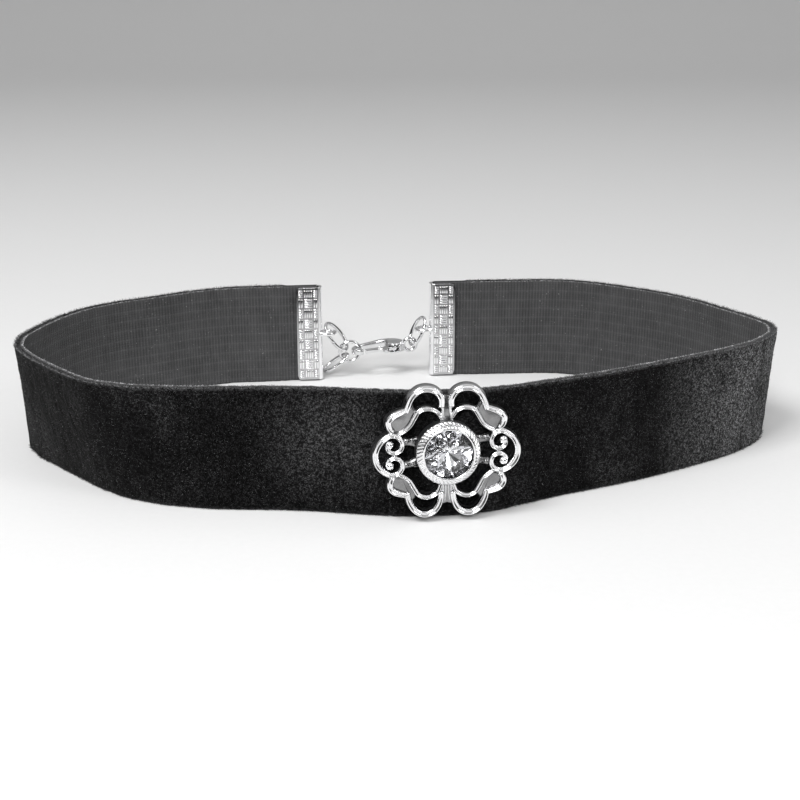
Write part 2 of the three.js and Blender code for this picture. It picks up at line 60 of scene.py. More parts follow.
# ---------------------------------------------------------------- node helpers
class Nodes:
    """A material under construction: short calls for the nodes that the finishes share."""

    def __init__(self, name):
        self.material = bpy.data.materials.new(name)
        self.material.use_nodes = True
        self.tree = self.material.node_tree
        self.shader = self.tree.nodes["Principled BSDF"]
        self.coords = self.new("ShaderNodeTexCoord").outputs["Object"]

    def new(self, kind, **values):
        node = self.tree.nodes.new(kind)
        for key, value in values.items():
            setattr(node, key, value)
        return node

    def link(self, a, b):
        self.tree.links.new(a, b)

    def constant(self, **values):
        for key, value in values.items():
            self.shader.inputs[key.replace("_", " ")].default_value = value

    def stretched(self, scale, source=None):
        node = self.new("ShaderNodeMapping")
        node.inputs["Scale"].default_value = scale
        self.link(source or self.coords, node.inputs["Vector"])
        return node.outputs["Vector"]

    def noise(self, scale, detail=3.0, rough=0.5, source=None):
        node = self.new("ShaderNodeTexNoise")
        node.inputs["Scale"].default_value = scale
        node.inputs["Detail"].default_value = detail
        node.inputs["Roughness"].default_value = rough
        self.link(source or self.coords, node.inputs["Vector"])
        return node.outputs["Fac"]

    def wave(self, scale, source, direction):
        node = self.new("ShaderNodeTexWave", bands_direction=direction)
        node.inputs["Scale"].default_value = scale
        node.inputs["Distortion"].default_value = 0.0
        self.link(source, node.inputs["Vector"])
        return node.outputs["Fac"]

    def spread(self, value, low, high, to_low=0.0, to_high=1.0):
        node = self.new("ShaderNodeMapRange")
        for key, number in (("From Min", low), ("From Max", high), ("To Min", to_low), ("To Max", to_high)):
            node.inputs[key].default_value = number
        self.link(value, node.inputs["Value"])
        return node.outputs["Result"]

    def math(self, operation, a, b):
        node = self.new("ShaderNodeMath", operation=operation)
        for socket, value in zip(node.inputs, (a, b)):
            if isinstance(value, (int, float)):
                socket.default_value = value
            else:
                self.link(value, socket)
        return node.outputs[0]

    def clipped(self, value):
        return self.math("MINIMUM", self.math("MAXIMUM", value, 0.0), 1.0)

    def mix(self, factor, a, b):
        node = self.new("ShaderNodeMix", data_type="RGBA")
        self.link(factor, node.inputs["Factor"])
        for socket, value in zip((node.inputs[6], node.inputs[7]), (a, b)):
            if isinstance(value, tuple):
                socket.default_value = (*value, 1.0)
            else:
                self.link(value, socket)
        return node.outputs[2]

    def near(self, centre, radius):
        """1 at a place on the piece, falling to 0 at a radius from it, in metres."""
        node = self.new("ShaderNodeVectorMath", operation="DISTANCE")
        node.inputs[1].default_value = centre
        self.link(self.coords, node.inputs[0])
        return self.spread(node.outputs["Value"], radius, radius * 0.25)

    def along(self, direction, origin):
        """How far a point lies from an origin along a direction, in metres."""
        node = self.new("ShaderNodeVectorMath", operation="DOT_PRODUCT")
        node.inputs[1].default_value = direction
        self.link(self.coords, node.inputs[0])
        shift = sum(a * b for a, b in zip(direction, origin))
        return self.math("SUBTRACT", node.outputs["Value"], shift)

    def bump(self, height, strength, distance):
        node = self.new("ShaderNodeBump")
        node.inputs["Strength"].default_value = strength
        node.inputs["Distance"].default_value = distance
        self.link(height, node.inputs["Height"])
        self.link(node.outputs["Normal"], self.shader.inputs["Normal"])


def grey(value, tint=0.0):
    return (value, value, value * (1 + tint))


# ---------------------------------------------------------------- materials
def velvet_pile():
    m = Nodes("velvet_pile")
    fine = m.noise(5200.0, 2.0, 0.7)
    tuft = m.noise(2100.0, 3.0, 0.65)
    brushed = m.noise(160.0, 4.0, 0.6, m.stretched((1.0, 1.0, 0.35)))
    cloud = m.noise(75.0, 3.0, 0.55)
    # Painted sheen: two placed patches, beside the rosette's left and over the right end, where the brushed nap
    # is streaked lighter in the base colour. The rubbed mask carries the brushed streaks of that painted sheen.
    sheen_patch_left = m.near((-0.011, -0.035, 0.012), 0.013)
    sheen_patch_right = m.near((0.066, 0.002, 0.010), 0.034)
    sheen_patches = m.math("MAXIMUM", m.math("MULTIPLY", sheen_patch_left, 0.25), sheen_patch_right)
    lift = m.math("MULTIPLY", m.spread(cloud, 0.44, 0.64), m.spread(brushed, 0.40, 0.62))
    rubbed = m.math("MULTIPLY", sheen_patches, m.spread(brushed, 0.24, 0.54))
    lift = m.math("MAXIMUM", m.math("MULTIPLY", lift, 0.13), rubbed)
    speck = m.math("MULTIPLY", m.spread(fine, 0.44, 0.62), m.spread(tuft, 0.40, 0.60))
    deep = m.mix(speck, grey(0.0010, 0.02), grey(0.022, 0.02))
    light = m.mix(speck, grey(0.024, 0.02), grey(0.48, 0.02))
    body = m.mix(lift, deep, light)
    height = m.along((0.0, 0.0, 1.0), (0.0, 0.0, 0.0))
    # The lighter band along the top edge is painted highlight where the edge of the pile catches light; a
    # fainter band lies along the foot.
    foot = m.math("MULTIPLY", m.spread(height, 0.0006, 0.00015), 0.6)
    rim = m.math("MAXIMUM", m.spread(height, 0.0194, 0.0198), foot)
    rim = m.math("MULTIPLY", rim, m.spread(tuft, 0.36, 0.6))
    m.link(m.mix(rim, body, grey(0.055, 0.02)), m.shader.inputs["Base Color"])
    m.link(m.spread(tuft, 0.3, 0.7, 0.86, 1.0), m.shader.inputs["Roughness"])
    m.constant(Sheen_Weight=0.03, Sheen_Roughness=0.35, Specular_IOR_Level=0.06)
    m.bump(m.math("ADD", fine, tuft), 0.8, 0.00018)
    return m.material


def bands_per_metre(pitch):
    """The scale that makes Blender's wave texture, one band every pi/10, repeat at a pitch."""
    return math.pi / 10 / (pitch * MM)


def woven_back():
    m = Nodes("woven_back")
    uv = m.new("ShaderNodeUVMap", uv_map="cloth").outputs["UV"]
    ribs = m.wave(1.0, m.stretched((bands_per_metre(RIB_PITCH), 1.0, 1.0), uv), "X")
    picks = m.wave(1.0, m.stretched((1.0, bands_per_metre(PICK_PITCH), 1.0), uv), "Y")
    courses = m.wave(1.0, m.stretched((1.0, bands_per_metre(COURSE_PITCH), 1.0), uv), "Y")
    patch = m.noise(230.0, 3.0, 0.6)
    slub = m.noise(900.0, 2.0, 0.6, m.stretched((1.0, 1.0, 0.3)))
    lint = m.noise(3200.0, 1.0, 0.5)
    tone = m.mix(m.math("MULTIPLY", ribs, 0.75), grey(0.038, 0.02), grey(0.095, 0.02))
    tone = m.mix(m.math("MULTIPLY", m.spread(picks, 0.1, 0.9), 0.4), tone, grey(0.044, 0.02))
    tone = m.mix(m.math("MULTIPLY", m.spread(courses, 0.75, 1.0), 0.18), tone, grey(0.135, 0.02))
    tone = m.mix(m.math("MULTIPLY", m.spread(slub, 0.42, 0.66), 0.35), tone, grey(0.038, 0.02))
    tone = m.mix(m.math("MULTIPLY", m.spread(patch, 0.35, 0.7), 0.25), tone, grey(0.115, 0.02))
    tone = m.mix(m.spread(lint, 0.72, 0.80), tone, grey(0.26))
    m.link(tone, m.shader.inputs["Base Color"])
    m.link(m.spread(slub, 0.3, 0.7, 0.78, 0.95), m.shader.inputs["Roughness"])
    m.constant(Sheen_Weight=0.08, Sheen_Roughness=0.5, Specular_IOR_Level=0.2)
    height = m.math("ADD", m.math("MULTIPLY", ribs, 1.0), m.math("MULTIPLY", picks, 0.6))
    m.bump(height, 0.7, 0.00008)
    return m.material


def fuzz_fibre(name, low, high):
    m = Nodes(name)
    speck = m.spread(m.noise(2600.0, 2.0, 0.6), 0.4, 0.65)
    m.link(m.mix(speck, grey(low, 0.02), grey(high, 0.02)), m.shader.inputs["Base Color"])
    m.link(m.spread(speck, 0.0, 1.0, 0.7, 0.95), m.shader.inputs["Roughness"])
    m.constant(Sheen_Weight=0.25, Sheen_Roughness=0.4, Specular_IOR_Level=0.2)
    return m.material


def polished_silver(name, bright, low_rough, high_rough, dent):
    m = Nodes(name)
    wear = m.noise(420.0, 4.0, 0.6)
    scratch = m.noise(2600.0, 3.0, 0.6, m.stretched((1.0, 0.25, 2.2)))
    dull = m.spread(wear, 0.35, 0.7)
    m.link(m.mix(dull, grey(bright, 0.01), grey(bright * 0.86, 0.01)), m.shader.inputs["Base Color"])
    m.link(m.spread(scratch, 0.3, 0.7, low_rough, high_rough), m.shader.inputs["Roughness"])
    m.constant(Metallic=1.0)
    m.bump(m.math("ADD", wear, m.math("MULTIPLY", scratch, 0.25)), dent, 0.00006)
    return m.material


def cast_silver(name, origin, facing, dark_below, bright_above, recess, bright, wrinkle=0.08):
    """Cast silver that keeps a dark oxide in its recesses and is rubbed bright where it stands out."""
    m = Nodes(name)
    height = m.along(facing, origin)
    wear = m.noise(520.0, 4.0, 0.6)
    scratch = m.noise(2400.0, 3.0, 0.6)
    rubbed = m.math("ADD", m.spread(height, dark_below, bright_above), m.spread(wear, 0.3, 0.7, -0.14, 0.14))
    rubbed = m.clipped(rubbed)
    m.link(m.mix(rubbed, grey(recess, 0.02), grey(bright, 0.01)), m.shader.inputs["Base Color"])
    rough = m.math("ADD", m.spread(rubbed, 0.0, 1.0, 0.38, 0.10), m.spread(scratch, 0.3, 0.7, -0.02, 0.06))
    m.link(rough, m.shader.inputs["Roughness"])
    m.constant(Metallic=1.0)
    m.bump(m.math("ADD", wear, m.math("MULTIPLY", scratch, 0.1)), wrinkle, 0.00008)
    return m.material


def embossed_silver(name, origin, into, across):
    """Clamp plate: grey between the reeds of its weave, rubbed bright on them and on the fold."""
    m = Nodes(name)
    proud = m.math("ABSOLUTE", m.along(across, origin), 0.0)
    fold = m.spread(m.along(into, origin), 0.0010, 0.0007)
    wear = m.noise(420.0, 4.0, 0.6)
    scratch = m.noise(2600.0, 3.0, 0.6)
    raised = m.math("MAXIMUM", m.spread(proud, 0.00128, 0.00142), fold)
    rubbed = m.clipped(m.math("ADD", raised, m.spread(wear, 0.3, 0.7, -0.2, 0.2)))
    m.link(m.mix(rubbed, grey(0.46, 0.01), grey(0.97, 0.01)), m.shader.inputs["Base Color"])
    m.link(m.spread(scratch, 0.3, 0.7, 0.12, 0.26), m.shader.inputs["Roughness"])
    m.constant(Metallic=1.0)
    m.bump(wear, 0.15, 0.00006)
    return m.material


def crystal_glass():
    m = Nodes("crystal_glass")
    haze = m.noise(900.0, 3.0, 0.6)
    m.link(m.spread(haze, 0.4, 0.8, 0.0, 0.02), m.shader.inputs["Roughness"])
    m.link(m.mix(haze, (0.97, 0.985, 0.99), (1.0, 1.0, 1.0)), m.shader.inputs["Base Color"])
    m.constant(Transmission_Weight=1.0, IOR=1.56)
    return m.material


def crystal_foil():
    m = Nodes("crystal_foil")
    mottle = m.noise(1400.0, 3.0, 0.6)
    m.link(m.mix(m.spread(mottle, 0.35, 0.7), grey(0.80, 0.03), grey(0.97, 0.02)), m.shader.inputs["Base Color"])
    m.link(m.spread(mottle, 0.3, 0.7, 0.03, 0.12), m.shader.inputs["Roughness"])
    m.constant(Metallic=1.0)
    return m.material


# ---------------------------------------------------------------- curves
def catmull(points, t):
    """Points on a centripetal Catmull-Rom curve, the same as the CAD's, at parameters from 0 to 1."""
    p = np.asarray(points, float)
    last = len(p) - 1
    at = np.clip(np.asarray(t, float), 0, 1) * last
    i = np.minimum(at.astype(int), last - 1)
    k = (at - i)[:, None]
    padded = np.vstack([2 * p[0] - p[1], p, 2 * p[-1] - p[-2]])
    p0, p1, p2, p3 = (padded[i + n] for n in range(4))

    def gap(a, b):
        return np.maximum(np.linalg.norm(b - a, axis=1, keepdims=True) ** 0.5, 1e-6)

    d0, d1, d2 = gap(p0, p1), gap(p1, p2), gap(p2, p3)
    m1 = ((p1 - p0) / d0 - (p2 - p0) / (d0 + d1) + (p2 - p1) / d1) * d1
    m2 = ((p2 - p1) / d1 - (p3 - p1) / (d1 + d2) + (p3 - p2) / d2) * d1
    c2, c3 = -3 * p1 + 3 * p2 - 2 * m1 - m2, 2 * p1 - 2 * p2 + m1 + m2
    return p1 + m1 * k + c2 * k**2 + c3 * k**3


def even(points, count):
    """Evenly spaced points on the same curve, with their parameters and the length so far."""
    t = np.linspace(0, 1, 6000)
    line = catmull(points, t)
    so_far = np.concatenate([[0], np.cumsum(np.linalg.norm(np.diff(line, axis=0), axis=1))])
    at = np.linspace(0, so_far[-1], count)
    tt = np.interp(at, so_far, t)
    return catmull(points, tt), tt, at


def directions(line, closed=False):
    if closed:
        step = np.roll(line, -1, axis=0) - np.roll(line, 1, axis=0)
    else:
        step = np.gradient(line, axis=0)
    return step / np.linalg.norm(step, axis=1, keepdims=True)


def smooth_step(x, low, high):
    k = np.clip((x - low) / (high - low), 0, 1)
    return k * k * (3 - 2 * k)


# ---------------------------------------------------------------- mesh helpers
class Shell:
    """Vertices and faces gathered from several closed forms, made into one piece."""

    def __init__(self):
        self.points, self.faces, self.kinds, self.count = [], [], [], 0

    def add(self, points, faces, kind=0):
        self.points.append(np.asarray(points, float))
        self.faces.extend([[i + self.count for i in face] for face in faces])
        self.kinds.extend([kind] * len(faces))
        self.count += len(points)
        return self

    def make(self, name, materials, place=None, smooth=True, body="choker", slot=None, replaces=()):
        points = np.concatenate(self.points)
        if place is not None:
            points = place(points)
        mesh = bpy.data.meshes.new(name)
        mesh.from_pydata((points * MM).tolist(), [], self.faces)
        for material in materials:
            mesh.materials.append(material)
        mesh.polygons.foreach_set("material_index", self.kinds)
        mesh.polygons.foreach_set("use_smooth", [bool(smooth)] * len(self.faces))
        mesh.update()
        piece = bpy.data.objects.new(name, mesh)
        bpy.context.collection.objects.link(piece)
        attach(piece, body)
        if replaces:
            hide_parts(*replaces)
        return piece


def grid_faces(rows, columns, wrap_rows=False):
    faces = []
    for i in range(rows if wrap_rows else rows - 1):
        a, b = i * columns, ((i + 1) % rows) * columns
        for j in range(columns):
            k = (j + 1) % columns
            faces.append([a + j, a + k, b + k, b + j])
    return faces


def end_caps(rows, columns):
    """The two faces that close a grid at its first and last rows."""
    return [list(range(columns))[::-1], [(rows - 1) * columns + j for j in range(columns)]]


def frame_placer(x, y, z, origin):
    axes = np.array([x, y, z], float)
    return lambda points: points @ axes + np.asarray(origin, float)


def swept(line, section, widths=None, rises=None, base=0.0, closed=False, cap=0.0):
    """A section carried along a line in the xy plane. The section is (across, up), in widths and rises."""
    line = np.asarray(line, float)
    way = directions(line, closed)
    across = np.stack([way[:, 1], -way[:, 0]], axis=1)
    n = len(line)
    widths = np.full(n, 1.0) if widths is None else np.asarray(widths, float)
    rises = np.full(n, 1.0) if rises is None else np.asarray(rises, float)
    if cap:
        steps = np.linalg.norm(np.diff(line, axis=0), axis=1)
        so_far = np.concatenate([[0], np.cumsum(steps)])
        end = np.minimum(so_far, so_far[-1] - so_far)
        k = np.clip(end / cap, 0, 1)
        round_off = np.sqrt(np.maximum(1 - (1 - k) ** 2, 0.02))
        widths, rises = widths * round_off, rises * (0.35 + 0.65 * round_off)
    section = np.asarray(section, float)
    m = len(section)
    points = np.zeros((n, m, 3))
    points[:, :, :2] = line[:, None, :2] + across[:, None, :] * (section[None, :, 0:1] * widths[:, None, None])
    points[:, :, 2] = base + section[None, :, 1] * rises[:, None]
    faces = grid_faces(n, m, wrap_rows=closed)
    if not closed:
        faces += end_caps(n, m)
    return points.reshape(-1, 3), faces


def ring_section(sides):
    angle = np.arange(sides) / sides * 2 * math.pi
    return np.stack([np.cos(angle), np.sin(angle)], axis=1) * 0.5


def wire(line, thick, sides, **more):
    """A round wire along a line in the xy plane."""
    full = np.full(len(line), thick)
    return swept(line, ring_section(sides), full, full, **more)


def ball(centre, radius, squash=1.0, rows=10, sides=16):
    points = [[0, 0, -1]]
    for i in range(1, rows):
        a = math.pi * i / rows
        for j in range(sides):
            b = 2 * math.pi * j / sides
            points.append([math.sin(a) * math.cos(b), math.sin(a) * math.sin(b), -math.cos(a)])
    points.append([0, 0, 1])
    faces = [[0, 1 + (j + 1) % sides, 1 + j] for j in range(sides)]
    for i in range(rows - 2):
        a, b = 1 + i * sides, 1 + (i + 1) * sides
        faces += [[a + j, a + (j + 1) % sides, b + (j + 1) % sides, b + j] for j in range(sides)]
    top, a = len(points) - 1, 1 + (rows - 2) * sides
    faces += [[a + j, a + (j + 1) % sides, top] for j in range(sides)]
    points = np.array(points) * [radius, radius, radius * squash] + np.asarray(centre, float)
    return points, faces


def inward(outline):
    """The direction at each point of a closed outline, listed anticlockwise, that leads inside it."""
    step = np.roll(outline, -1, axis=0) - np.roll(outline, 1, axis=0)
    step = step / np.maximum(np.linalg.norm(step, axis=1, keepdims=True), 1e-9)
    return np.stack([-step[:, 1], step[:, 0]], axis=1)


def pillow(outline, low, high, radius, steps=4, scale_z=None):
    """A plate cut to an outline, with its upper and lower edges rounded to a radius."""
    outline = np.asarray(outline, float)
    area = np.sum(outline[:, 0] * np.roll(outline[:, 1], -1) - np.roll(outline[:, 0], -1) * outline[:, 1])
    if area < 0:
        outline = outline[::-1]
    lead = inward(outline)
    layers = []
    for k in range(steps + 1):
        a = math.pi / 2 * k / steps
        layers.append((radius * (1 - math.sin(a)), low + radius * (1 - math.cos(a))))
    layers += [(inset, low + high - z) for inset, z in layers[::-1]]
    n = len(outline)
    points = np.concatenate(
        [np.column_stack([outline + lead * inset, np.full(n, z)]) for inset, z in layers]
    )
    if scale_z is not None:
        points[:, 2] *= scale_z(points[:, 0])
    return points, grid_faces(len(layers), n) + end_caps(len(layers), n)


# ---------------------------------------------------------------- ribbon
PLAN_ORIGIN = np.array([-0.34, 1.25])
RIBBON_WIDTH = 20.0
RIBBON_THICK = 1.5
RIBBON_END_THICK = 1.0
CLAMP_DEPTH = 5.3

# The CAD's own stations: x, y and the outward lean in degrees.
STATIONS = np.array([
    (-16.8, 32.5, 0), (-22.0, 31.9, 0), (-28.5, 31.2, 1), (-35.0, 30.1, 0), (-41.5, 27.2, 0),
    (-48.0, 22.8, 0), (-54.2, 18.9, 0), (-59.2, 14.0, 0), (-62.6, 8.0, 0), (-65.0, 0.6, 0),
    (-65.7, -6.3, 2), (-63.5, -12.0, 6), (-59.2, -17.4, 9), (-54.2, -22.9, 10), (-48.8, -28.2, 10),
    (-43.0, -31.5, 6), (-36.0, -33.3, 1), (-28.0, -34.0, -3), (-19.0, -34.1, -4), (-12.0, -34.7, -4.5),
    (-6.0, -35.6, -5), (0.5, -36.3, -5.5), (7.0, -36.1, -5.5), (13.5, -34.8, -4), (19.5, -32.2, -1),
    (26.0, -28.9, 0.5), (33.0, -25.7, 1), (40.5, -21.7, 0), (48.0, -17.2, 0.5), (55.5, -12.4, 1.5),
    (61.5, -7.4, 2.5), (65.4, -2.0, 3), (66.4, 3.2, 2), (64.4, 8.2, 1), (61.0, 14.2, 0),
    (56.8, 20.8, 0), (51.4, 26.6, 0), (45.0, 31.2, 0), (38.5, 35.1, 0), (31.5, 37.0, 0),
    (23.5, 36.7, 0), (15.0, 36.15, 0), (6.9, 35.55, 0),
])


class Wall:
    """The ribbon's middle surface: places on it by the distance along it and the height."""

    def __init__(self, count):
        self.line, self.t, self.along = even(STATIONS[:, :2], count)
        self.line = self.line + PLAN_ORIGIN
        self.length = self.along[-1]
        way = directions(self.line)
        self.way = way
        self.out = np.stack([way[:, 1], -way[:, 0]], axis=1)
        last = len(STATIONS) - 1
        i = np.minimum((self.t * last).astype(int), last - 1)
        k = smooth_step(self.t * last - i, 0, 1)
        self.lean = np.tan(np.radians(STATIONS[i, 2] * (1 - k) + STATIONS[i + 1, 2] * k))
        from_end = np.minimum(self.along, self.length - self.along)
        self.full = smooth_step(from_end, CLAMP_DEPTH + 0.1, CLAMP_DEPTH + 2.0)
        self.half = (RIBBON_END_THICK * (1 - self.full) + RIBBON_THICK * self.full) / 2

    def at(self, distance, offset, height):
        """Points at distances along the ribbon, at an offset outwards and a height."""
        line = np.stack([np.interp(distance, self.along, self.line[:, k]) for k in range(2)], axis=-1)
        out = np.stack([np.interp(distance, self.along, self.out[:, k]) for k in range(2)], axis=-1)
        lean = np.interp(distance, self.along, self.lean)
        shift = offset + lean * (height - RIBBON_WIDTH / 2)
        return np.concatenate([line + out * shift[..., None], height[..., None]], axis=-1)

    def frame_at(self, distance):
        out = np.stack([np.interp(distance, self.along, self.out[:, k]) for k in range(2)], axis=-1)
        way = np.stack([np.interp(distance, self.along, self.way[:, k]) for k in range(2)], axis=-1)
        zero = np.zeros(out.shape[:-1] + (1,))
        return np.concatenate([out, zero], axis=-1), np.concatenate([way, zero], axis=-1)


RIBBON_COLUMNS = 1500
OUTSIDE_ROWS = 46
RIB_PITCH = 0.62
PICK_PITCH = 0.47
COURSE_PITCH = 1.88
wall = Wall(RIBBON_COLUMNS)


def ribbon_section():
    """Each row is a share of the half thickness, a height, and how much pile stands there."""
    rows = []
    for i in range(OUTSIDE_ROWS):
        rows.append((1.0, 0.4 + (RIBBON_WIDTH - 0.8) * i / (OUTSIDE_ROWS - 1), 1.0))
    rows += [(0.94, 19.82, 0.9), (0.75, 19.95, 0.8), (0.45, 20.0, 0.6), (0.1, 19.88, 0.3), (-0.35, 19.86, 0.2),
             (-0.7, 19.93, 0.2), (-0.93, 19.82, 0.1)]
    rows += [(-1.0, 19.6, 0.0), (-1.0, 13.3, 0.0), (-1.0, 6.7, 0.0), (-1.0, 0.4, 0.0)]
    rows += [(-0.93, 0.18, 0.1), (-0.6, 0.03, 0.0), (0.0, 0.03, 0.0), (0.6, 0.0, 0.2), (0.92, 0.15, 0.6)]
    return np.array(rows)


def softened(field, times):
    for _ in range(times):
        field = (field + np.roll(field, 1, 0) + np.roll(field, -1, 0)) / 3
        field = (field + np.roll(field, 1, 1) + np.roll(field, -1, 1)) / 3
    return field


def make_ribbon():
    rows = ribbon_section()
    n, m = RIBBON_COLUMNS, len(rows)
    share, height, pile = rows.T
    rough = softened(rng.normal(size=(n, m)), 1) * 0.11 + softened(rng.normal(size=(n, m)), 6) * 0.35
    offset = share[None, :] * wall.half[:, None]
    offset = offset + np.clip(rough, -0.2, 0.2) * pile[None, :] * wall.full[:, None] * 0.75
    ribs = 0.03 * np.cos(2 * math.pi * wall.along / RIB_PITCH)
    offset = offset - np.where(share < -0.99, 1, 0)[None, :] * (ribs * wall.full)[:, None]
    edge = np.where((height > 19.7) | (height < 0.3), 1, 0)
    wander = softened(rng.normal(size=(n, m)), 2) * 0.16 * edge[None, :]
    tall = np.clip(np.broadcast_to(height, (n, m)) + wander * wall.full[:, None], 0.0, 20.1)
    distance = np.broadcast_to(wall.along[:, None], (n, m))
    points = wall.at(distance, offset, tall).reshape(-1, 3)
    faces = grid_faces(n, m)
    # Velvet comes over the top edge and under the foot; the rows between are the woven back.
    back_from, back_to = OUTSIDE_ROWS + 4, m - 3
    shell = Shell().add(points, faces + end_caps(n, m))
    shell.kinds = [int(back_from <= k % m < back_to) for k in range(len(faces))] + [0, 0]
    piece = shell.make(
        "velvet_ribbon", [velvet_pile(), woven_back()], slot="velvet", replaces=("ribbon",)
    )
    layer = piece.data.uv_layers.new(name="cloth")
    corner = np.zeros(len(piece.data.loops), dtype=np.int32)
    piece.data.loops.foreach_get("vertex_index", corner)
    uv = np.stack([wall.along[corner // m] * MM, height[corner % m] * MM], axis=1)
    layer.data.foreach_set("uv", uv.astype(np.float32).ravel())
    return piece


# How far fibres and their tips stay above the surface the choker stands on.
FIBRE_SEAT = 0.005
FIBRE_TIP_SEAT = 0.02


def spikes(base, tip, thick):
    """Fibres: thin three-sided points, closed at the base."""
    way = tip - base
    way /= np.maximum(np.linalg.norm(way, axis=1, keepdims=True), 1e-9)
    helper = rng.normal(size=way.shape)
    a = np.cross(way, helper)
    a /= np.maximum(np.linalg.norm(a, axis=1, keepdims=True), 1e-9)
    b = np.cross(way, a)
    corners = []
    for k in range(3):
        turn = 2 * math.pi * k / 3
        corners.append(base + (a * math.cos(turn) + b * math.sin(turn)) * (thick / 2)[:, None])
    points = np.stack([*corners, tip], axis=1).reshape(-1, 3)
    faces = []
    for i in range(len(base)):
        q = 4 * i
        faces += [[q, q + 2, q + 1], [q, q + 1, q + 3], [q + 1, q + 2, q + 3], [q + 2, q, q + 3]]
    return points, faces


def make_edge_fuzz(name, top, per_mm, offset_low, offset_high, reach, material):
    margin = CLAMP_DEPTH + 1.6
    count = int((wall.length - 2 * margin) * per_mm)
    distance = rng.uniform(margin, wall.length - margin, count)
    offset = rng.uniform(offset_low, offset_high, count)
    base = wall.at(distance, offset, np.full(count, 19.85 if top else 0.14))
    out, way = wall.frame_at(distance)
    long = rng.uniform(reach * 0.45, reach, count) * (0.8 + 0.4 * rng.random(count))
    lean = np.sign(offset_low + offset_high) * np.abs(rng.normal(0.35, 0.4, count)) + offset * 0.3
    side = rng.normal(0, 0.45, count)
    rise = rng.uniform(0.55, 1.0, count) if top else rng.uniform(-0.05, 0.35, count)
    if not top:
        lean = lean + np.sign(offset_low + offset_high) * 0.9
    step = out * lean[:, None] + way * side[:, None] + np.array([0, 0, 1.0]) * rise[:, None]
    step /= np.linalg.norm(step, axis=1, keepdims=True)
    tip = base + step * long[:, None]
    tip[:, 2] = np.maximum(tip[:, 2], FIBRE_TIP_SEAT)
    points, faces = spikes(base, tip, rng.uniform(0.05, 0.09, count))
    points[:, 2] = np.maximum(points[:, 2], FIBRE_SEAT)
    return Shell().add(points, faces).make(name, [material], slot="velvet", smooth=False)


def make_pile(name, count, reach, thick, material):
    margin = CLAMP_DEPTH + 1.8
    distance = rng.uniform(margin, wall.length - margin, count)
    height = rng.uniform(0.3, RIBBON_WIDTH - 0.3, count)
    base = wall.at(distance, np.full(count, RIBBON_THICK / 2 - 0.06), height)
    out, way = wall.frame_at(distance)
    side, rise = rng.normal(0, 0.7, count), rng.normal(0.15, 0.7, count)
    step = out + way * side[:, None] + np.array([0, 0, 1.0]) * rise[:, None]
    step /= np.linalg.norm(step, axis=1, keepdims=True)
    tip = base + step * (reach * rng.uniform(0.5, 1.0, count))[:, None]
    points, faces = spikes(base, tip, np.full(count, thick) * rng.uniform(0.7, 1.2, count))
    points[:, 2] = np.maximum(points[:, 2], FIBRE_SEAT)
    return Shell().add(points, faces).make(name, [material], slot="velvet", smooth=False)


ribbon = make_ribbon()
# The edge fuzz and pile fibres are mottled much lighter than the black velvet: painted highlight where the fibre
# ends catch light, palest along the inner top edge. The lint specks are pale lint.
dark_fuzz = fuzz_fibre("edge_fuzz", 0.012, 0.32)
pale_fuzz = fuzz_fibre("pile_tips", 0.02, 0.20)
lint_look = fuzz_fibre("lint", 0.12, 0.35)
pale_top_fuzz = fuzz_fibre("pale_top_fibres", 0.12, 0.85)
fuzz = [
    make_edge_fuzz("fuzz_top_outside", True, 28, 0.30, 0.76, 0.58, dark_fuzz),
    make_edge_fuzz("fuzz_top_inside", True, 26, -0.76, -0.42, 0.26, pale_top_fuzz),
    make_edge_fuzz("fuzz_bottom_outside", False, 20, 0.35, 0.76, 0.55, dark_fuzz),
    make_pile("pile_fibres", 22000, 0.36, 0.055, pale_fuzz),
    make_pile("lint_specks", 420, 0.42, 0.06, lint_look),
]

# ---------------------------------------------------------------- ribbon clamps
CLAMP_HEIGHT = 19.4
CLAMP_BASE = 0.3
CLAMP_OUTER = 1.3
CLAMP_CHANNEL = 0.8
CLAMP_BACK = 0.9
CLAMP_ROWS = 9
FOLD_RADIUS = 1.04
CORNER_RADIUS = 0.9
LOOP_HEIGHT = 9.9
LOOP_WIRE = 0.8
ring_silver = polished_silver("ring_silver", 0.84, 0.05, 0.13, 0.05)


def clamp_plates():
    """The folded plate: its section in plan, carried up with its free corners rounded off."""
    half = []
    for k in range(9):
        a = math.pi / 2 * k / 8
        x = FOLD_RADIUS - FOLD_RADIUS * math.cos(a)
        half.append((x, CLAMP_OUTER - FOLD_RADIUS + FOLD_RADIUS * math.sin(a)))
    depth = np.linspace(1.3, CLAMP_DEPTH - 0.12, 10)
    half += [(x, CLAMP_OUTER) for x in depth]
    half += [(CLAMP_DEPTH, CLAMP_OUTER - 0.12), (CLAMP_DEPTH, CLAMP_CHANNEL + 0.06)]
    half += [(CLAMP_DEPTH - 0.06, CLAMP_CHANNEL)]
    half += [(x, CLAMP_CHANNEL) for x in np.linspace(CLAMP_DEPTH - 0.5, 0.9, 6)]
    half += [(0.66, CLAMP_CHANNEL - 0.12), (0.6, CLAMP_CHANNEL - 0.3)]
    profile = np.array(half + [(x, -y) for x, y in half[::-1]])
    middle = np.linspace(0.2, CLAMP_HEIGHT - 0.2, 26)
    heights = np.concatenate([[0, 0.06], middle, [CLAMP_HEIGHT - 0.06, CLAMP_HEIGHT]])
    points = []
    for z in heights:
        end = min(z, CLAMP_HEIGHT - z)
        drop = CORNER_RADIUS - min(end, CORNER_RADIUS)
        corner = CORNER_RADIUS - math.sqrt(max(CORNER_RADIUS**2 - drop**2, 0))
        x = np.minimum(profile[:, 0], CLAMP_DEPTH - corner)
        tight = 0.07 if end < 0.03 else 0.0
        y = profile[:, 1] - np.sign(profile[:, 1]) * tight * (np.abs(profile[:, 1]) > 1.0)
        points.append(np.column_stack([x, y, np.full(len(profile), z)]))
    size = len(heights), len(profile)
    return np.concatenate(points), grid_faces(*size) + end_caps(*size)


